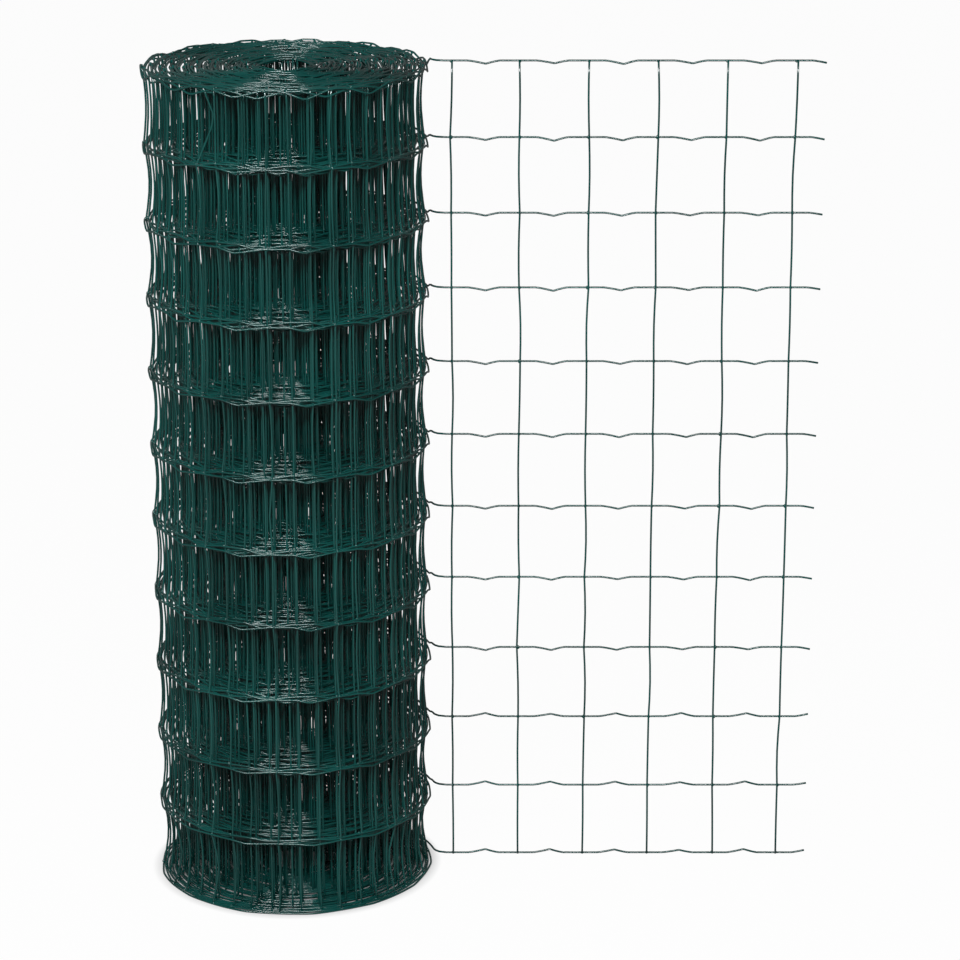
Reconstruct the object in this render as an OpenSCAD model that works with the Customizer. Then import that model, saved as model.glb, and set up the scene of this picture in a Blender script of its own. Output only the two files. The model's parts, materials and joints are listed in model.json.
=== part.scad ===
// Roll of welded mesh fencing, stood on its end, with the free end of the web pulled out flat.
// The origin is on the roll's axis at the floor. The pulled-out end runs along +X.

/* [Mesh] */
// Number of line wires, which run along the web
line_wires = 12; // [3:1:16]
// Spacing of the line wires
line_pitch = 76; // [50:1:100]
// Spacing of the upright wires along the web
upright_pitch = 67.5; // [60:0.5:100]
// Diameter of the coated wire
wire_d = 2; // [1.6:0.1:3]
// Depth to which an upright is pressed into each line wire where they are welded
weld_sink = 0.6; // [0.3:0.1:1]

/* [Crimps] */
// Depth of the crimp that each line wire has halfway between two uprights
crimp_depth = 3.5; // [1:0.5:8]
// Length over which a line wire falls into its crimp
crimp_fall = 18; // [10:1:24]
// Length over which it rises out again
crimp_rise = 14; // [8:1:24]
// Number of line wires, counted from the lowest, whose crimps point up
crimps_up = 3; // [0:1:16]

/* [Roll] */
// Outer diameter of the roll at its line wires
roll_d = 286; // [240:1:400]
// Diameter of the bore through the middle
bore_d = 54; // [30:1:80]
// Number of turns in the roll
turns = 46; // [8:1:50]
// Distance by which the uprights bow inward between two line wires
bow_depth = 4; // [1:0.5:8]
// Depth of the groove between two turns on each end
groove_depth = 2; // [1:0.5:6]

/* [Loose end] */
// Number of uprights in the pulled-out end
loose_uprights = 6; // [1:1:12]
// Angle round the roll, from +X, at which the web leaves it
leave_angle = 12; // [10:1:40]
// Radius of the bend from the roll into the flat stretch
bend_r = 14; // [8:1:40]
// Distance along the web from the roll to the first upright
first_upright = 26; // [12:1:60]
// Length of the cut wires past the last upright
cut_length = 30; // [5:1:45]
// Clearance between the roll and the web that leaves it
leave_gap = 0.3; // [0.2:0.1:1]

/* [Hidden] */

mesh_green = [0.03, 0.17, 0.14];

// A wire is eight-sided, wire_d across its flats.
wire_sides = 8;
side_w = wire_d * tan(180 / wire_sides);
corner_w = (wire_d - side_w) / 2;
wire_circle_d = wire_d / cos(180 / wire_sides);

mesh_h = (line_wires - 1) * line_pitch + wire_d;
function line_z(i) = wire_d / 2 + i * line_pitch;

// Roll
turn_pitch = (roll_d / 2 - bore_d / 2 - wire_d) / (turns - 1);
function turn_r(k) = bore_d / 2 + wire_d / 2 + k * turn_pitch;
bow_steps = 6;

// The line wires' route in plan: round the bend at the roll, then straight along +X
route_r = roll_d / 2 + leave_gap + wire_d / 2;
bend_length = bend_r * (90 - leave_angle) * PI / 180;
bend_steps = 8;
bend_centre = (route_r + bend_r) * [cos(leave_angle), sin(leave_angle)];
loose_length = first_upright + (loose_uprights - 1) * upright_pitch + cut_length;

function heading(s) = min(0, leave_angle - 90 + s / bend_r * 180 / PI);
function bend_point(s) = bend_centre + bend_r * [sin(heading(s)), -cos(heading(s))];
function route(s) = bend_point(min(s, bend_length)) + [max(0, s - bend_length), 0];

// Share of the crimp's depth at a distance along the web. The web leaves the roll between two crimps.
function past_weld(s) = s - first_upright - upright_pitch * floor((s - first_upright) / upright_pitch);
function past_crimp(s) = past_weld(s) - upright_pitch / 2;
function crimp_share(s) = let (p = past_crimp(s))
    s < first_upright ? 0 : max(0, p < 0 ? 1 + p / crimp_fall : 1 - p / crimp_rise);

// Places along a line wire where it changes direction
bend_places = [for (i = [0 : bend_steps]) bend_length * i / bend_steps];
crimp_places = [
    for (k = [0 : loose_uprights - 1], step = [-crimp_fall, 0, crimp_rise])
        first_upright + (k + 0.5) * upright_pitch + step
];
places = concat(
    bend_places,
    [for (s = crimp_places) if (s > bend_length + wire_d && s < loose_length - wire_d) s],
    [loose_length]
);

function line_point(i, s) = let (way = i < crimps_up ? 1 : -1)
    [route(s)[0], route(s)[1], line_z(i) + way * crimp_depth * crimp_share(s)];

function unit(v) = v / norm(v);

// Direction of the wire at point k: halfway between the stretches before and after it
function along(points, k) = unit(
    (k < len(points) - 1 ? unit(points[k + 1] - points[k]) : [0, 0, 0])
    + (k > 0 ? unit(points[k] - points[k - 1]) : [0, 0, 0])
);

function ring(centre, way) = let (
    across = unit(cross([0, 0, 1], way)),
    up = cross(way, across)
) [
    for (j = [0 : wire_sides - 1]) let (a = (j + 0.5) * 360 / wire_sides)
        centre + wire_circle_d / 2 * (cos(a) * across + sin(a) * up)
];

// A bent wire of the mesh along a list of points
module bent_wire(points) {
    last = len(points) - 1;
    polyhedron(
        points = [for (k = [0 : last]) each ring(points[k], along(points, k))],
        faces = concat(
            [[for (j = [0 : wire_sides - 1]) j]],
            [
                for (k = [0 : last - 1], j = [0 : wire_sides - 1]) let (
                    here = k * wire_sides,
                    next = (j + 1) % wire_sides
                ) [here + j, here + wire_sides + j, here + wire_sides + next, here + next]
            ],
            [[for (j = [wire_sides - 1 : -1 : 0]) last * wire_sides + j]]
        )
    );
}

// One upright, on the side of the line wires that faces the roll's axis
module upright(s) {
    side = heading(s) - 90;
    translate([
        route(s)[0] + (wire_d - weld_sink) * cos(side),
        route(s)[1] + (wire_d - weld_sink) * sin(side),
        0
    ])
        rotate([0, 0, heading(s) + 180 / wire_sides])
            cylinder(h = mesh_h, d = wire_circle_d, $fn = wire_sides);
}

// One end of the roll, from the bore outward: a ridge for each turn and a groove between two
function end_points() = concat(
    [[bore_d / 2, corner_w]],
    [
        for (k = [0 : turns - 1]) each concat(
            [[turn_r(k) - side_w / 2, 0], [turn_r(k) + side_w / 2, 0]],
            k < turns - 1 ? [[turn_r(k) + turn_pitch / 2, groove_depth]] : []
        )
    ]
);

// Outside of the roll, from the floor up: each line wire stands out, and the uprights bow inward
function outside_points() = [
    for (i = [0 : line_wires - 1]) each concat(
        i > 0 ? [[roll_d / 2 - corner_w, line_z(i) - wire_d / 2]] : [],
        [[roll_d / 2, line_z(i) - side_w / 2], [roll_d / 2, line_z(i) + side_w / 2]],
        i < line_wires - 1 ? concat(
            [[roll_d / 2 - corner_w, line_z(i) + wire_d / 2]],
            [for (step = [1 : bow_steps - 1]) bow_point(i, step / bow_steps)]
        ) : []
    )
];
function bow_point(i, share) = [
    roll_d / 2 - corner_w - bow_depth * sin(180 * share),
    line_z(i) + wire_d / 2 + share * (line_pitch - wire_d)
];

function upside_down(points) = [
    for (k = [len(points) - 1 : -1 : 0]) [points[k][0], mesh_h - points[k][1]]
];

module wound_roll() {
    color(mesh_green)
        rotate_extrude($fn = 96)
            polygon(concat(end_points(), outside_points(), upside_down(end_points())));
}

module loose_end() {
    color(mesh_green)
        union() {
            for (i = [0 : line_wires - 1])
                bent_wire([for (s = places) line_point(i, s)]);
            for (k = [0 : loose_uprights - 1])
                upright(first_upright + k * upright_pitch);
        }
}

wound_roll();
loose_end();
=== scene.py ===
import json
import math

import bpy
import numpy as np
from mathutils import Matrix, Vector


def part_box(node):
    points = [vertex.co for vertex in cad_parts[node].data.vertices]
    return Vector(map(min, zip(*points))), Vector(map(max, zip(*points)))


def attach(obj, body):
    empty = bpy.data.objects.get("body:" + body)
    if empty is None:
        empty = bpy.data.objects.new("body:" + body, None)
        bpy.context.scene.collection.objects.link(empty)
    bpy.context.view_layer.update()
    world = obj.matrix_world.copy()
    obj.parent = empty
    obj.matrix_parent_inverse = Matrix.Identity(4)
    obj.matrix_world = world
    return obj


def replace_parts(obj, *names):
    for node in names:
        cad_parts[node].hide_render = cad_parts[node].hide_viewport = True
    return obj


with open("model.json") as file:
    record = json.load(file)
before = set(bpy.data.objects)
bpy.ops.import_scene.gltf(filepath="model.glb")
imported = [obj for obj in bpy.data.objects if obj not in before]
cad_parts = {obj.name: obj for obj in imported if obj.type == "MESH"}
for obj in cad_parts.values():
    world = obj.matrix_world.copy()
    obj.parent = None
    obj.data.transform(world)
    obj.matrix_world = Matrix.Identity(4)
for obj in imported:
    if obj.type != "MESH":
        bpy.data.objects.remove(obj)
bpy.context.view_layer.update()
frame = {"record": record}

# The roll stands on its end with the free end of its web pulled out along +X. Lengths are in metres.
# A place along the web is counted in cells, inward from the first upright of the pulled-out end:
# it is below zero towards the cut end, and each upright of the web is at a whole number.

FULL_TURN = 2 * math.pi
UP = np.array([[0, 0, 1.0]])
TO_FRONT = np.array([[0, -1.0, 0]])
TO_BACK = np.array([[0, 1.0, 0]])

# Sizes of the mesh
LINE_WIRES = 12
TOP_ROW = LINE_WIRES - 1
WIRE_R = 0.001
CORE_SHARE = 0.72
WELD_SINK = 0.0006
CELL = 0.0675

# The roll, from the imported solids
ROLL_LOW, ROLL_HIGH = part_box("wound_roll")
ROLL_R = (ROLL_HIGH.x - ROLL_LOW.x) / 2
MESH_H = ROLL_HIGH.z
LINE_PITCH = (MESH_H - 2 * WIRE_R) / (LINE_WIRES - 1)
BORE_R = next(m for m in frame["record"]["mounts"] if m["name"] == "bore")["dims"]["r_mm"] / 1000
TURNS = 46
TURN_PITCH = (ROLL_R - BORE_R - 2 * WIRE_R) / (TURNS - 1)
OUTER_R = ROLL_R - WIRE_R
LAST_ANGLE = (TURNS - 1) * FULL_TURN

# The web's way off the roll. Its cut ends stay a little inside those of the solid.
CUT_INSET = 0.0006
CUT_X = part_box("loose_end")[1].x - CUT_INSET
LEAVE_ANGLE = math.radians(12)
LEAVE_GAP = 0.0003
BEND_R = 0.014
FIRST_UPRIGHT = 0.026
LOOSE_UPRIGHTS = 6
ROUTE_R = ROLL_R + LEAVE_GAP + WIRE_R
BEND_LENGTH = BEND_R * (math.pi / 2 - LEAVE_ANGLE)
BEND_CENTRE = (ROUTE_R + BEND_R) * np.array([math.cos(LEAVE_ANGLE), math.sin(LEAVE_ANGLE)])
LEAVE_COUNT = FIRST_UPRIGHT / CELL
CUT_COUNT = LEAVE_COUNT - (BEND_LENGTH + CUT_X - BEND_CENTRE[0]) / CELL
# Angle over which the outermost wire settles down to its turn's radius
LIFT_ANGLE = 0.2

# Camera, its place fitted to the rings and edges of the roll in the photograph
CAMERA_PLACE = (0.19, -3.397, 1.454)
CAMERA_PITCH = math.radians(17.02)
CAMERA_LENS = 132.3
SENSOR_WIDTH = 36.0
CAMERA_REACH = 50

# Seeds of the random draws. Where each row or upright has draws of its own, its number is added.
ROW_BOW_SEED = 12
COLUMN_SEED = 31
DRIFT_SEED = 3
ROW_DRIFT_SEED = 40
WAVER_SEED = 90
CRIMP_SEED = 500
DIP_SEED = 600
UPRIGHT_SEED = 7000

# Random curve: number of waves in it, spread of their lengths, range of their phases, and its divisor
NOISE_WAVES = 5
NOISE_SPREAD = (0.6, 1.8)
NOISE_PHASES = 6.3
NOISE_DIVISOR = 3

# Uprights of the outer turn that the photograph shows, in angles from the front centre towards +X.
# FRONT is the angle wound through at the front centre.
FRONT = 1.5 * math.pi - LEAVE_ANGLE
SEEN_ANGLES = np.radians([-62.8, -34.8, -4.8, 21.7, 49.2])
SEEN_FIRST = 8
CELLS_A_TURN = 13
# Those of the next turns are wound on past them by this angle
SLIPS = np.radians([0, 8.7, 17.8, 26.4, 35.6])
# Between them the web is free near the right side, at the back and near the left side, in shares of
# the way round the back, and on the outer turn only halfway
SIDE_SHARES = (0.17, 0.5, 0.88)
OUTER_SHARES = (0.5,)
# The turns below them stand in line with these in front, in three columns to each cell
LINED_TURNS = 13
COLUMNS = 3
COLUMN_X = -0.0116
COLUMN_SPREAD = 0.02

# Elsewhere, uprights stand where the others leave gaps, so that the roll looks closed. Cells give by
# this share, and this many counts are tried at each free place, which is gone through several times.
CELL_GIVE = 0.12
TRIES = 41
SWEEPS = 4
# The camera's view in narrow upright strips: their width at a distance of 1, their number, and those
# at the sides and at the bore, counted from the middle, with the weight of each kind
VIEW_BIN = 0.00008
VIEW_BINS = 1200
SIDE_BINS = (330, 500)
SIDE_WEIGHT = 4.0
BORE_BINS = 110
BORE_WEIGHT = 15.0
# Share of a wire's width that counts as closed, and how fast a strip closes with each upright
SEEN_SHARE = 0.9
CLOSING = 2
# A line of sight crosses the roll's back and front at different heights: shares of the bow at each
BOW_VIEWS = np.array([[0.25, 0.8, 1.0], [1.0, 0.8, 0.25]])

# Places where a line wire changes direction, in shares of a cell
LOOSE_STEPS = np.array([
    0, 0.1, 0.22, 0.293, 0.35, 0.41, 0.46, 0.49, 0.51, 0.54, 0.6, 0.67, 0.73, 0.767, 0.85
])
FINE_STEPS = np.array([0, 0.05, 0.18, 0.3, 0.34, 0.46, 0.53, 0.57, 0.64, 0.76, 0.88, 0.95])
STEPS = np.array([0, 0.13, 0.3, 0.36, 0.47, 0.53, 0.58, 0.73, 0.88])
COARSE_STEPS = np.array([0, 0.17, 0.33, 0.45, 0.55, 0.7, 0.85])

# Places where an upright changes direction, in shares of the way from one line wire to the next
FINE_RISES = (0, 0.15, 0.35, 0.5, 0.65, 0.85)
RISES = (0, 0.2, 0.4, 0.6, 0.8)
COARSE_RISES = (0, 0.25, 0.5, 0.75)

# Pieces of the roll from the outside in: name, turns out to its inner end, places along a line wire,
# sides of a wire, places up an upright, and whether its welds have beads
BANDS = (
    ("outer_turns", 4, FINE_STEPS, 7, FINE_RISES, True),
    ("second_turns", 9, STEPS, 6, RISES, False),
    ("third_turns", 16, STEPS, 6, RISES, False),
    ("fourth_turns", 28, COARSE_STEPS, 5, COARSE_RISES, False),
    ("inner_turns", TURNS - 1, COARSE_STEPS, 5, COARSE_RISES, False),
)
ROLL_BEAD_SIDES = 6
LOOSE_SIDES = 10
# Share of a cell at either end of the pulled-out web that has no change of direction
PLAIN_END = 0.02

# Drift of all rows and of each row: height, length of its waves, and turns or cells in which it sets in
DRIFT = 0.0036
DRIFT_WAVE = 1.1
DRIFT_TURNS = 2
ROW_DRIFT = 0.0011
ROW_DRIFT_WAVE = 0.5
ROW_DRIFT_CELLS = 4
# Share of the drift that the lowest and the highest row have, towards the middle of the mesh
EDGE_DRIFT = 0.5

# Line wires on the roll step inward at each weld, which sets in over half a cell, and waver in and out
CORNER_STEP = 0.001
CORNER_CELLS = 0.5
WAVER = 0.0005
WAVER_WAVE = 0.09
WAVER_SHIFT = 0.8

# Crimps of the flat web: run, number of rows that point up, depths, and how sharp they are
CRIMP_FALL = 0.018
CRIMP_RISE = 0.014
CRIMPS_UP = 3
CRIMP_DEPTHS = (0.0027, 0.0038)
CRIMP_DRAWS = 40
CRIMP_SHARPNESS = 1.3

# Dips of a line wire on the roll: their run in shares of a cell, their depth by row from the lowest,
# its spread, and the part of a cell in which they set in
DIP_PLACES = (0, 0.31, 0.55, 0.95)
TOP_PLACES = (0, 0.22, 0.6, 0.97)
DIP_SHARES = (0, 0, 1, 0)
DIP_ROWS = (0, 1, 2, 3, 10, 11)
DIP_DEPTHS = (0.0003, 0.0018, 0.0028, 0.0036, 0.0042, 0.0034)
DIP_SPREAD = (0.8, 1.15)
DIP_DRAWS = 600
DIP_CELLS = 0.15
# The highest row dips further on the outer turns
TOP_DIP = 0.005
TOP_DIP_TURNS = 2.5

# Inward bow of an upright between two line wires: in the inner turns, what the outer turns add to it,
# how many turns that takes to fade, and what the lowest cells of the outer turns add
INNER_BOW = 0.0014
OUTER_BOW = 0.0028
BOW_TURNS = 3
FOOT_BOW = 0.0022
BOW_SPREAD = (0.9, 1.1)
ROW_BOWS = np.random.default_rng(ROW_BOW_SEED).uniform(0.85, 1.15, LINE_WIRES)

# Sideways sway of uprights: where they show, and in the turns behind. Some of the outer ones also lean
# about a place at this share of their height, and at the top by this share of the lean.
OUTER_CELLS = 3 * CELLS_A_TURN
SWAY = 0.0006
INNER_SWAY = 0.00015
LEAN = 0.0025
LEAN_PLACE = 0.8
LEAN_TOP = 0.2
# Bent uprights of the outer turn: number, row below, height in the cell, sideways, outward
BENT = {
    (9, 10): (0.6, 0.011, -0.005),
    (11, 10): (0.3, -0.002, 0.0),
    (8, 0): (0.45, 0.0095, 0.0),
    (9, 0): (0.5, 0.004, 0.0),
    (12, 0): (0.6, -0.004, 0.0),
    (10, 5): (0.5, -0.003, 0.0),
}
UNBENT = (0.5, 0.0, 0.0)
# Uprights whose upper end is pulled aside
PULLED = {9: 0.0085}

# Ends of wires: the height left free above and below an upright, and the length over which the
# coating is drawn in
UPRIGHT_INSET = 0.0004
END_LENGTH = 0.0001
# Weld beads: half of their height, and their radii at places up them
BEAD_HALF = 0.0019
BEAD_PLACES = np.array([0, 0.25, 0.75, 1])
BEAD_RADII = np.array([0.5, 1.3, 1.3, 0.5]) * WIRE_R

# Shades of the coat and of the steel core
COAT_DARK = (0.0025, 0.053, 0.047)
COAT_LIGHT = (0.006, 0.102, 0.09)
COAT_SHADES = (0.35, 0.68)
STEEL_DARK = (0.16, 0.16, 0.16)
STEEL_LIGHT = (0.42, 0.42, 0.41)

# Surround: its strength in front of the object, and behind it to light and to reflections. It grows
# from the front to the back between these two values of its direction's Y.
FRONT_STRENGTH = 0.01
BACK_STRENGTH = 0.02
BACK_SHINE = 0.12
BACK_START = -0.2
BACK_FULL = 0.8

# Floor: half its side, its tone to light and to the camera, the part of its white that reflections
# see, and its share of white outside the roll, which sets in from one radius to the other
FLOOR_HALF = 15.0
FLOOR_DARK = 0.12
FLOOR_PALE = 0.9
FLOOR_SHINE = 0.08
FLOOR_WHITE = 0.97
FLOOR_SHADE_R = 0.13
FLOOR_WHITE_R = 0.15

# The one lamp, in front of the object and above it
KEY_PLACE = (-0.45, -2.7, 2.0)
KEY_TARGET = (0, 0, 0.45)
KEY_SIZE = (3.0, 0.4)
KEY_POWER = 112


def slow_noise(place, wave, seed):
    """A smooth random curve between about -1 and 1 that changes over about wave metres."""
    own = np.random.default_rng(seed)
    total = np.zeros_like(place)
    for _ in range(NOISE_WAVES):
        length = wave * own.uniform(*NOISE_SPREAD)
        total += np.sin(FULL_TURN * place / length + own.uniform(0, NOISE_PHASES))
    return total / NOISE_DIVISOR


def radius_at(angle):
    """Radius of the wound line wires at an angle wound through."""
    return OUTER_R - TURN_PITCH * angle / FULL_TURN


def bow_at(angle):
    """How far uprights bow inward between two line wires: most where they lie outside."""
    return INNER_BOW + OUTER_BOW * np.exp(-angle / FULL_TURN / BOW_TURNS)


def view_share(angles, half):
    """How often uprights at these angles cover each strip of the camera's view, for each bow."""
    bow = BOW_VIEWS[half][:, None] * bow_at(angles)
    r = radius_at(angles) - CORNER_STEP - 2 * WIRE_R + WELD_SINK - bow
    far = r * np.sin(LEAVE_ANGLE + angles) - CAMERA_PLACE[1]
    aside = (r * np.cos(LEAVE_ANGLE + angles) - CAMERA_PLACE[0]) / far
    middle = CAMERA_PLACE[0] / CAMERA_PLACE[1]
    half_wire = SEEN_SHARE * WIRE_R / far
    low = ((aside - half_wire - middle) / VIEW_BIN + VIEW_BINS / 2).round().astype(int)
    high = ((aside + half_wire - middle) / VIEW_BIN + VIEW_BINS / 2).round().astype(int)
    view = np.broadcast_to(np.arange(len(bow))[:, None], low.shape)
    edges = np.zeros((len(bow), VIEW_BINS))
    np.add.at(edges, (view, low), 1)
    np.add.at(edges, (view, high), -1)
    return np.cumsum(edges, axis=1)


def seen_knots():
    """Knots of the turns whose uprights stand as seen: angles, counts, and which counts are free."""
    angles = [0.0, (CELL - FIRST_UPRIGHT) / OUTER_R]
    counts = [LEAVE_COUNT, 1.0]
    free = []
    for turn, slip in enumerate(SLIPS):
        seen = FRONT + SEEN_ANGLES + slip + turn * FULL_TURN
        numbers = SEEN_FIRST + CELLS_A_TURN * turn + np.arange(len(seen))
        shares = SIDE_SHARES if turn > 0 else OUTER_SHARES
        free += range(len(angles), len(angles) + len(shares))
        ends = (angles[-1], seen[0]), (counts[-1], numbers[0])
        angles += [*np.interp(shares, (0, 1), ends[0]), *seen]
        counts += [*np.interp(shares, (0, 1), ends[1]), *numbers]
    return angles, counts, free


def first_knots():
    """Evenly wound start: angles, counts of cells there, and which of the counts may still change."""
    angles, counts, free = seen_knots()
    own = np.random.default_rng(COLUMN_SEED)
    half_turn = 2 * len(SLIPS)
    while angles[-1] < LAST_ANGLE:
        angle = min(half_turn * math.pi - LEAVE_ANGLE, LAST_ANGLE)
        turn = half_turn // 2 - 1
        if half_turn % 2 == 0 and len(SLIPS) <= turn < LINED_TURNS:
            front = FRONT + turn * FULL_TURN + math.asin(COLUMN_X / radius_at(angle))
            natural = counts[-1] + (front - angles[-1]) * radius_at(front) / CELL
            column = turn % COLUMNS / COLUMNS + own.normal(0, COLUMN_SPREAD)
            angles.append(front)
            counts.append(round(natural + column) - column)
        counts.append(counts[-1] + (angle - angles[-1]) * radius_at((angle + angles[-1]) / 2) / CELL)
        angles.append(angle)
        free.append(len(angles) - 1)
        half_turn += 1
    return np.array(angles), np.array(counts), free[:-1]


def stretch_share(angles, counts, k, half):
    """What the uprights between two knots cover."""
    inside = np.arange(math.floor(counts[k]) + 1, math.floor(counts[k + 1]) + 1)
    return view_share(np.interp(inside, counts[k:k + 2], angles[k:k + 2]), half)


def bareness(covered):
    """How much of the view is left open by both halves of the roll and by each of them."""
    from_middle = np.abs(np.arange(VIEW_BINS) - VIEW_BINS / 2)
    weight = np.where((from_middle > SIDE_BINS[0]) & (from_middle < SIDE_BINS[1]), SIDE_WEIGHT, 1)
    behind_bore = np.where(from_middle < BORE_BINS, BORE_WEIGHT, 1)
    own = (behind_bore * np.exp(-CLOSING * covered[0])).sum() + np.exp(-CLOSING * covered[1]).sum()
    return (weight * np.exp(-CLOSING * covered.sum(0))).sum() + own


def best_count(angles, counts, k, halves, others, tries):
    """The count at knot k that closes the view best, what both stretches cover, and the whole cover."""
    best = None
    for count in tries:
        counts[k] = count
        before = stretch_share(angles, counts, k - 1, halves[k - 1])
        after = stretch_share(angles, counts, k, halves[k])
        total = others.copy()
        total[halves[k - 1]] += before
        total[halves[k]] += after
        bare = bareness(total)
        if best is None or bare < best[0]:
            best = (bare, count, before, after, total)
    return best[1:]


def wound_knots():
    """Angles wound through and the count of cells at each, chosen knot by knot for the closest view."""
    angles, counts, free = first_knots()
    middles = (angles[1:] + angles[:-1]) / 2
    halves = (np.sin(LEAVE_ANGLE + middles) < 0).astype(int)
    cells = (angles[1:] - angles[:-1]) * radius_at(middles) / CELL
    fewest, most = cells * (1 - CELL_GIVE), cells * (1 + CELL_GIVE)
    shares = [stretch_share(angles, counts, k, half) for k, half in enumerate(halves)]
    covered = np.zeros((2, len(BOW_VIEWS[0]), VIEW_BINS))
    for half, share in zip(halves, shares):
        covered[half] += share
    for k in free * SWEEPS:
        covered[halves[k - 1]] -= shares[k - 1]
        covered[halves[k]] -= shares[k]
        low = max(counts[k - 1] + fewest[k - 1], counts[k + 1] - most[k])
        high = min(counts[k - 1] + most[k - 1], counts[k + 1] - fewest[k])
        best = best_count(angles, counts, k, halves, covered, np.linspace(low, high, TRIES))
        counts[k], shares[k - 1], shares[k], covered = best
    return angles, counts


KNOT_ANGLES, KNOT_COUNTS = wound_knots()


def wound_angle(count):
    """Angle wound through at a place on the web."""
    return np.interp(count, KNOT_COUNTS, KNOT_ANGLES)


def wound_count(turn):
    """Place on the web where this many turns are wound."""
    return np.interp(turn * FULL_TURN, KNOT_ANGLES, KNOT_COUNTS)


def past_leaving(count, cells):
    """Grows from 0 where the web leaves the roll to 1 at this many cells further in."""
    return np.clip((count - LEAVE_COUNT) / cells, 0, 1)


def plan(count, outward):
    """Plan position, shape (n, 2), of a place on the web, moved outward by that much."""
    theta = wound_angle(count)
    lift = (ROUTE_R - OUTER_R) * np.exp(-theta / LIFT_ANGLE)
    r = radius_at(theta) + lift + outward
    a = LEAVE_ANGLE + theta
    wound = np.stack([r * np.cos(a), r * np.sin(a)], -1)
    place = np.maximum(0, LEAVE_COUNT - count) * CELL
    turn = np.minimum(0, LEAVE_ANGLE - np.pi / 2 + place / BEND_R)
    out_r = BEND_R - outward
    bend = BEND_CENTRE + np.stack([out_r * np.sin(turn), -out_r * np.cos(turn)], -1)
    bend[..., 0] += np.maximum(0, place - BEND_LENGTH)
    return np.where((count > LEAVE_COUNT)[..., None], wound, bend)


def flat_crimp(row, count):
    """Crimp of a line wire where the web is flat, from each weld towards the cut end."""
    past = (np.mod(-count, 1) - 0.5) * CELL
    raw = np.clip(np.where(past < 0, 1 + past / CRIMP_FALL, 1 - past / CRIMP_RISE), 0, 1)
    depths = np.random.default_rng(CRIMP_SEED + row).uniform(*CRIMP_DEPTHS, CRIMP_DRAWS)
    way = 1 if row < CRIMPS_UP else -1
    return way * depths[np.floor(count).astype(int) % CRIMP_DRAWS] * raw**CRIMP_SHARPNESS * (count < 0)


def wound_crimp(row, count):
    """Dip of a line wire on the roll: steep on one side of each crimp, and long on the other."""
    places = TOP_PLACES if row == TOP_ROW else DIP_PLACES
    raw = np.interp(np.mod(count, 1), places, DIP_SHARES) * past_leaving(count, DIP_CELLS)
    depths = np.random.default_rng(DIP_SEED + row).uniform(*DIP_SPREAD, DIP_DRAWS)
    depth = np.interp(row, DIP_ROWS, DIP_DEPTHS)
    if row == TOP_ROW:
        depth = depth + TOP_DIP * np.exp(-((count / CELLS_A_TURN / TOP_DIP_TURNS) ** 2))
    return -depth * depths[np.floor(count).astype(int) % DIP_DRAWS] * raw


def line_height(row, count):
    """Height of a line wire without its crimps: even rows, with the small drift of a hand-wound roll."""
    place = count * CELL
    drift = DRIFT * slow_noise(place, DRIFT_WAVE, DRIFT_SEED)
    drift = drift * past_leaving(count, DRIFT_TURNS * CELLS_A_TURN)
    own_drift = ROW_DRIFT * slow_noise(place, ROW_DRIFT_WAVE, ROW_DRIFT_SEED + row)
    drift += own_drift * past_leaving(count, ROW_DRIFT_CELLS)
    if row == 0:
        drift = EDGE_DRIFT * np.abs(drift)
    if row == TOP_ROW:
        drift = -EDGE_DRIFT * np.abs(drift)
    return WIRE_R + row * LINE_PITCH + drift


def line_wire(row, count):
    """Path of a line wire through these places."""
    on_roll = past_leaving(count, CORNER_CELLS)
    from_weld = 1 - 2 * np.abs(np.mod(count, 1) - 0.5)
    outward = -CORNER_STEP * (1 - from_weld**2) * on_roll
    waver = slow_noise(count * CELL, WAVER_WAVE, WAVER_SEED + row) - WAVER_SHIFT
    outward = outward + WAVER * waver * on_roll
    z = line_height(row, count) + flat_crimp(row, count) + wound_crimp(row, count)
    z = np.clip(z, WIRE_R, MESH_H - WIRE_R)
    return np.column_stack([plan(count, outward), z])


def corner_step(number):
    """How far the welds of an upright on the roll lie inward of their turn's radius."""
    return CORNER_STEP * (number > 0)


def upright_draws(number):
    """Lean of an upright, and for each row its sideways place, its inward bow and its sideways bow."""
    own = np.random.default_rng(UPRIGHT_SEED + number)
    outer = 0 < number <= OUTER_CELLS
    sway = SWAY if outer or number <= 0 else INNER_SWAY
    lean = own.normal(0, LEAN) if CELLS_A_TURN < number and outer else 0.0
    rest = own.normal(0, sway, LINE_WIRES)
    rest[-1] += PULLED.get(number, 0.0)
    bows = bow_at(wound_angle(number)) * ROW_BOWS * own.uniform(*BOW_SPREAD, LINE_WIRES) * (number > 0)
    bows[0] += FOOT_BOW * outer
    slides = own.normal(0, sway, LINE_WIRES)
    return lean, rest, bows, slides


def upright(number, steps):
    """Path of an upright: welded inside the line wires, bowed inward and sideways between them."""
    lean, rest, bows, slides = upright_draws(number)
    here = np.array([float(number)])
    sideways, heights, inward = [], [], []
    for row in range(LINE_WIRES - 1):
        low, high = line_height(row, here)[0], line_height(row + 1, here)[0]
        peak, kink, out = BENT.get((number, row), UNBENT)
        for f in steps:
            arch = math.sin(math.pi * f)
            tent = min(f / peak, (1 - f) / (1 - peak))
            leaning = lean * ((row + f) / LINE_WIRES - LEAN_PLACE)
            along = rest[row] * (1 - f) + rest[row + 1] * f - leaning
            sideways.append(along + slides[row] * arch * (kink == 0) + kink * tent)
            heights.append(low + f * (high - low))
            inward.append(bows[row] * arch - out * tent)
    sideways.append(rest[-1] - lean * LEAN_TOP)
    heights.append(MESH_H - UPRIGHT_INSET)
    inward.append(0)
    heights[0] = UPRIGHT_INSET
    outward = -(corner_step(number) + 2 * WIRE_R - WELD_SINK) - np.array(inward)
    return np.column_stack([plan(number + np.array(sideways) / CELL, outward), heights])


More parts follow.
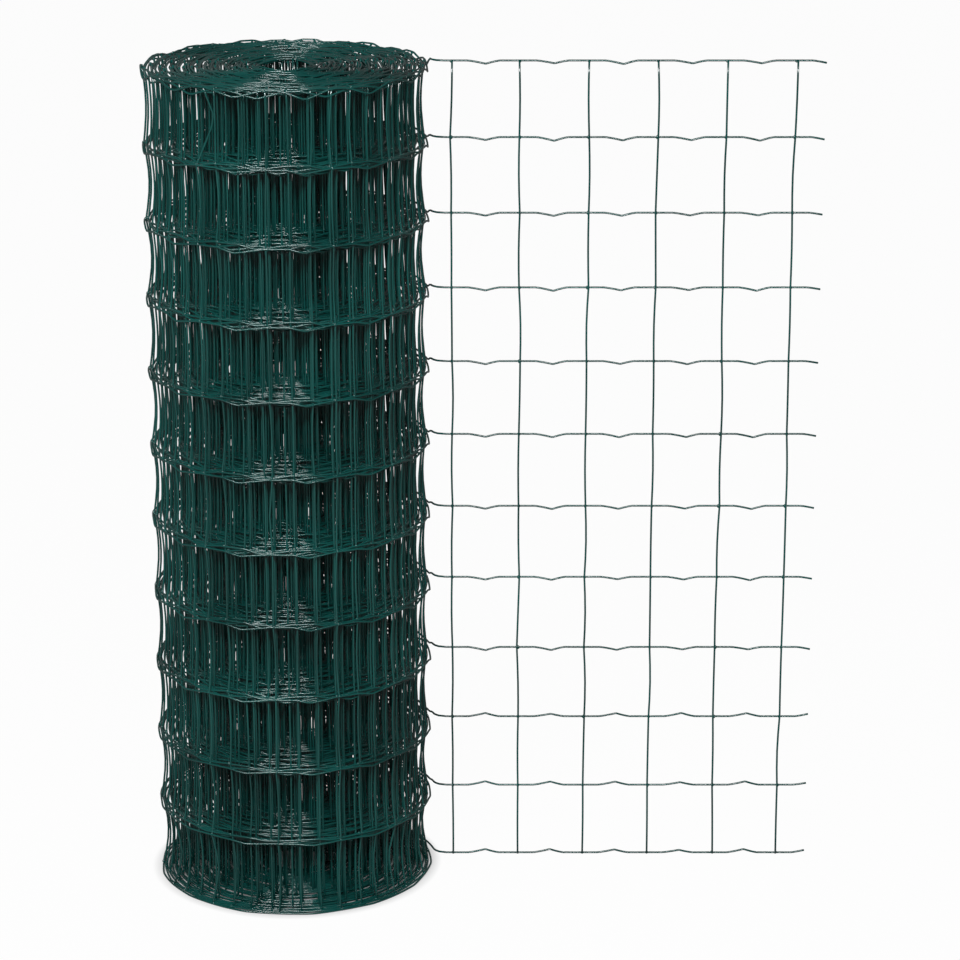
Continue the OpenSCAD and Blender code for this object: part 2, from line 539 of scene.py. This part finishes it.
def add_object(name, data):
    """A new object in the scene."""
    ob = bpy.data.objects.new(name, data)
    bpy.context.scene.collection.objects.link(ob)
    return ob


class Bundle:
    """Round wires that are joined into one mesh. Where one is cut, it shows its steel core."""

    def __init__(self):
        self.points, self.quads, self.caps, self.steel = [], [], [], []
        self.count = 0

    def tube(self, path, up, radius, sides, steel=(False, False)):
        """Adds a wire along path. up is near the direction that counts as up round it."""
        n = len(path)
        way = np.gradient(path, axis=0)
        way /= np.linalg.norm(way, axis=1, keepdims=True)
        across = np.cross(up, way)
        across /= np.linalg.norm(across, axis=1, keepdims=True)
        high = np.cross(way, across)
        a = (np.arange(sides) + 0.5) * FULL_TURN / sides
        round_it = np.cos(a)[None, :, None] * across[:, None] + np.sin(a)[None, :, None] * high[:, None]
        rings = path[:, None] + np.broadcast_to(radius, n)[:, None, None] * round_it
        here = self.count + np.arange(n - 1)[:, None] * sides + np.arange(sides)[None]
        beside = self.count + np.arange(n - 1)[:, None] * sides + (np.arange(sides)[None] + 1) % sides
        self.quads.append(np.stack([here, beside, beside + sides, here + sides], -1).reshape(-1, 4))
        first = self.count + np.arange(sides)
        self.caps += [first[::-1].tolist(), (first + (n - 1) * sides).tolist()]
        self.steel += steel
        self.points.append(rings.reshape(-1, 3))
        self.count += n * sides

    def wire(self, path, up, sides, steel=(False, False)):
        """Adds a wire of the mesh, its coating drawn in round each end."""
        first = path[0] + END_LENGTH * (path[0] - path[1]) / np.linalg.norm(path[0] - path[1])
        last = path[-1] + END_LENGTH * (path[-1] - path[-2]) / np.linalg.norm(path[-1] - path[-2])
        radius = np.full(len(path) + 2, WIRE_R)
        radius[[0, -1]] *= CORE_SHARE
        if len(up) > 1:
            up = np.vstack([up[:1], up, up[-1:]])
        self.tube(np.vstack([first, path, last]), up, radius, sides, steel)

    def beads(self, number, sides):
        """Adds the small bead of coating at each weld between an upright and a line wire."""
        here = np.array([float(number)])
        x, y = plan(here, -corner_step(number) - WIRE_R + WELD_SINK / 2)[0]
        for row in range(LINE_WIRES):
            z = line_height(row, here)[0]
            low, high = max(z - BEAD_HALF, UPRIGHT_INSET), min(z + BEAD_HALF, MESH_H - UPRIGHT_INSET)
            heights = low + (high - low) * BEAD_PLACES
            path = np.column_stack([np.full(len(heights), x), np.full(len(heights), y), heights])
            self.tube(path, TO_BACK, BEAD_RADII, sides)

    def fill(self, mesh):
        """Writes all wires into a mesh. Flat ends of cut wires get its second material."""
        quads = np.concatenate(self.quads)
        corners = np.concatenate([quads.ravel(), np.array([c for cap in self.caps for c in cap], int)])
        sizes = np.array([4] * len(quads) + [len(cap) for cap in self.caps])
        starts = np.concatenate([[0], np.cumsum(sizes)[:-1]])
        is_cap = np.arange(len(sizes)) >= len(quads)
        is_steel = np.concatenate([np.zeros(len(quads), bool), self.steel])
        mesh.vertices.add(self.count)
        mesh.vertices.foreach_set("co", np.concatenate(self.points).ravel())
        mesh.loops.add(len(corners))
        mesh.loops.foreach_set("vertex_index", corners.astype(np.int32))
        mesh.polygons.add(len(sizes))
        mesh.polygons.foreach_set("loop_start", starts.astype(np.int32))
        mesh.polygons.foreach_set("use_smooth", ~is_cap)
        mesh.polygons.foreach_set("material_index", is_steel.astype(np.int32))
        mesh.update(calc_edges=True)
        mesh.validate()

    def make(self, name, coat, steel):
        """Makes one piece of all the wires."""
        mesh = bpy.data.meshes.new(name)
        mesh.materials.append(coat)
        mesh.materials.append(steel)
        self.fill(mesh)
        piece = add_object(name, mesh)
        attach(piece, "root")
        return piece


def new_material(name):
    """A material, its nodes and its links."""
    material = bpy.data.materials.new(name)
    material.use_nodes = True
    return material, material.node_tree.nodes, material.node_tree.links


def add_node(nodes, kind, **values):
    """A node with these values on its inputs. An underscore in a name stands for a space."""
    node = nodes.new(kind)
    for name, value in values.items():
        node.inputs[name.replace("_", " ")].default_value = value
    return node


def add_ramp(nodes, dark, light, places=(0.0, 1.0)):
    """A colour ramp from dark to light."""
    ramp = nodes.new("ShaderNodeValToRGB")
    for element, place, colour in zip(ramp.color_ramp.elements, places, (dark, light)):
        element.position = place
        element.color = (*colour, 1)
    return ramp


def coated_wire():
    """Dark green plastic coat, glossy, a little uneven in shade and shine."""
    material, nodes, links = new_material("coated_wire")
    shader = nodes["Principled BSDF"]
    shader.inputs["Specular IOR Level"].default_value = 0.7
    shader.inputs["Coat Weight"].default_value = 1.0
    shader.inputs["Coat Roughness"].default_value = 0.14
    spot = nodes.new("ShaderNodeTexCoord")
    blotch = add_node(nodes, "ShaderNodeTexNoise", Scale=9.0, Detail=3.0)
    shade = add_ramp(nodes, COAT_DARK, COAT_LIGHT, COAT_SHADES)
    fine = add_node(nodes, "ShaderNodeTexNoise", Scale=260.0)
    shine = add_node(nodes, "ShaderNodeMapRange", To_Min=0.14, To_Max=0.32)
    ripple = add_node(nodes, "ShaderNodeBump", Strength=0.3, Distance=0.0003)
    links.new(spot.outputs["Object"], blotch.inputs["Vector"])
    links.new(spot.outputs["Object"], fine.inputs["Vector"])
    links.new(blotch.outputs["Fac"], shade.inputs["Fac"])
    links.new(shade.outputs["Color"], shader.inputs["Base Color"])
    links.new(fine.outputs["Fac"], shine.inputs["Value"])
    links.new(shine.outputs["Result"], shader.inputs["Roughness"])
    links.new(fine.outputs["Fac"], ripple.inputs["Height"])
    links.new(ripple.outputs["Normal"], shader.inputs["Normal"])
    return material


def cut_steel():
    """Grey steel core, bared where the wire is cut."""
    material, nodes, links = new_material("cut_steel")
    shader = nodes["Principled BSDF"]
    shader.inputs["Metallic"].default_value = 1.0
    spot = nodes.new("ShaderNodeTexCoord")
    fine = add_node(nodes, "ShaderNodeTexNoise", Scale=1500.0)
    shade = add_ramp(nodes, STEEL_DARK, STEEL_LIGHT)
    shine = add_node(nodes, "ShaderNodeMapRange", To_Min=0.3, To_Max=0.55)
    links.new(spot.outputs["Object"], fine.inputs["Vector"])
    links.new(fine.outputs["Fac"], shade.inputs["Fac"])
    links.new(shade.outputs["Color"], shader.inputs["Base Color"])
    links.new(fine.outputs["Fac"], shine.inputs["Value"])
    links.new(shine.outputs["Result"], shader.inputs["Roughness"])
    return material


def camera():
    """The photograph's camera."""
    data = bpy.data.cameras.new("camera")
    data.sensor_width = SENSOR_WIDTH
    data.lens = CAMERA_LENS
    data.clip_end = CAMERA_REACH
    cam = add_object("camera", data)
    cam.location = CAMERA_PLACE
    cam.rotation_euler = (math.pi / 2 - CAMERA_PITCH, 0, 0)
    bpy.context.scene.camera = cam


def lamp(name, place, target, size, power):
    """A soft lamp that points at its target."""
    data = bpy.data.lights.new(name, "AREA")
    data.shape = "RECTANGLE"
    data.size, data.size_y = size
    data.energy = power
    ob = add_object(name, data)
    ob.location = place
    ob.rotation_euler = (Vector(target) - Vector(place)).to_track_quat("-Z", "Y").to_euler()


def surround():
    """White to the camera. All else finds it dim, least so behind the object and in reflections."""
    world = bpy.data.worlds.new("studio")
    bpy.context.scene.world = world
    world.use_nodes = True
    nodes, links = world.node_tree.nodes, world.node_tree.links
    spot = nodes.new("ShaderNodeTexCoord")
    split = nodes.new("ShaderNodeSeparateXYZ")
    path = nodes.new("ShaderNodeLightPath")
    behind = add_node(nodes, "ShaderNodeMapRange", To_Min=BACK_STRENGTH, To_Max=BACK_SHINE)
    way_back = {"From_Min": BACK_START, "From_Max": BACK_FULL}
    strength = add_node(nodes, "ShaderNodeMapRange", To_Min=FRONT_STRENGTH, **way_back)
    light = nodes["Background"]
    light.inputs["Color"].default_value = (1, 1, 1, 1)
    white = add_node(nodes, "ShaderNodeBackground", Strength=1.0)
    mix = nodes.new("ShaderNodeMixShader")
    links.new(spot.outputs["Generated"], split.inputs["Vector"])
    links.new(split.outputs["Y"], strength.inputs["Value"])
    links.new(path.outputs["Is Glossy Ray"], behind.inputs["Value"])
    links.new(behind.outputs["Result"], strength.inputs["To Max"])
    links.new(strength.outputs["Result"], light.inputs["Strength"])
    links.new(path.outputs["Is Camera Ray"], mix.inputs["Fac"])
    links.new(light.outputs["Background"], mix.inputs[1])
    links.new(white.outputs["Background"], mix.inputs[2])
    links.new(mix.outputs["Shader"], nodes["World Output"].inputs["Surface"])


def floor_colour():
    """Nearly white to the camera, except inside the roll, where it lies in shadow, and dark to all else."""
    material, nodes, links = new_material("floor")
    matt = nodes["Principled BSDF"]
    matt.inputs["Roughness"].default_value = 0.9
    matt.inputs["Specular IOR Level"].default_value = 0.0
    path = nodes.new("ShaderNodeLightPath")
    shown = add_node(nodes, "ShaderNodeMapRange", To_Max=FLOOR_SHINE)
    tone = add_node(nodes, "ShaderNodeMapRange", To_Min=FLOOR_DARK, To_Max=FLOOR_PALE)
    spot = nodes.new("ShaderNodeTexCoord")
    distance = nodes.new("ShaderNodeVectorMath")
    distance.operation = "LENGTH"
    radii = {"From_Min": FLOOR_SHADE_R, "From_Max": FLOOR_WHITE_R}
    outside = add_node(nodes, "ShaderNodeMapRange", To_Max=FLOOR_WHITE, **radii)
    share = nodes.new("ShaderNodeMath")
    share.operation = "MULTIPLY"
    glow = nodes.new("ShaderNodeEmission")
    mix = nodes.new("ShaderNodeMixShader")
    links.new(spot.outputs["Object"], distance.inputs[0])
    links.new(distance.outputs["Value"], outside.inputs["Value"])
    links.new(path.outputs["Is Glossy Ray"], shown.inputs["Value"])
    links.new(path.outputs["Is Camera Ray"], shown.inputs["To Min"])
    links.new(path.outputs["Is Camera Ray"], tone.inputs["Value"])
    links.new(shown.outputs["Result"], share.inputs[0])
    links.new(outside.outputs["Result"], share.inputs[1])
    links.new(tone.outputs["Result"], matt.inputs["Base Color"])
    links.new(share.outputs["Value"], mix.inputs["Fac"])
    links.new(matt.outputs["BSDF"], mix.inputs[1])
    links.new(glow.outputs["Emission"], mix.inputs[2])
    links.new(mix.outputs["Shader"], nodes["Material Output"].inputs["Surface"])
    return material


def add_floor():
    """The level floor that the roll stands on."""
    mesh = bpy.data.meshes.new("floor")
    side = FLOOR_HALF
    corners = [(-side, -side, 0), (side, -side, 0), (side, side, 0), (-side, side, 0)]
    mesh.from_pydata(corners, [], [(0, 1, 2, 3)])
    mesh.materials.append(floor_colour())
    floor = add_object("floor", mesh)


def studio():
    """Surround, floor and the one lamp."""
    surround()
    add_floor()
    lamp("key", KEY_PLACE, KEY_TARGET, KEY_SIZE, KEY_POWER)
    bpy.context.scene.view_settings.view_transform = "Standard"


def wound_places(first, last, steps):
    """Places along a line wire from one upright to another, or from where the web leaves the roll."""
    count = (np.arange(first, last)[:, None] + steps[None]).ravel()
    count = np.append(count[count > LEAVE_COUNT], float(last))
    if first == 0:
        count = np.insert(count, 0, LEAVE_COUNT)
    return count


def wound_turns(coat, steel):
    """All wound turns, in pieces from the outside in, each from one upright to another."""
    first = 0
    for name, last_turn, steps, sides, rises, beaded in BANDS:
        last = math.floor(wound_count(last_turn))
        cut = (False, last_turn == TURNS - 1)
        count = wound_places(first, last, steps)
        bundle = Bundle()
        for row in range(LINE_WIRES):
            bundle.wire(line_wire(row, count), UP, sides, cut)
        for number in range(first + 1, last + 1):
            path = upright(number, rises)
            bundle.wire(path, np.column_stack([path[:, :2], np.zeros(len(path))]), sides)
            if beaded:
                bundle.beads(number, ROLL_BEAD_SIDES)
        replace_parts(bundle.make(name, coat, steel), "wound_roll")
        first = last


def loose_places():
    """Places along a line wire from its cut end to where the web leaves the roll."""
    first = math.floor(CUT_COUNT)
    count = (np.arange(first, 1)[:, None] + LOOSE_STEPS[None]).ravel()
    inside = (count > CUT_COUNT + PLAIN_END) & (count < LEAVE_COUNT - PLAIN_END)
    return np.concatenate([[CUT_COUNT], count[inside], [LEAVE_COUNT]])


def loose_mesh(coat, steel):
    """The pulled-out end of the web, with all its welds and cut ends."""
    bundle = Bundle()
    count = loose_places()
    for row in range(LINE_WIRES):
        bundle.wire(line_wire(row, count), UP, LOOSE_SIDES, (True, False))
    for number in range(1 - LOOSE_UPRIGHTS, 1):
        bundle.wire(upright(number, COARSE_RISES), TO_FRONT, LOOSE_SIDES)
        bundle.beads(number, LOOSE_SIDES)
    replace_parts(bundle.make("loose_mesh", coat, steel), "loose_end")


camera()
studio()
COAT = coated_wire()
STEEL = cut_steel()
wound_turns(COAT, STEEL)
loose_mesh(COAT, STEEL)
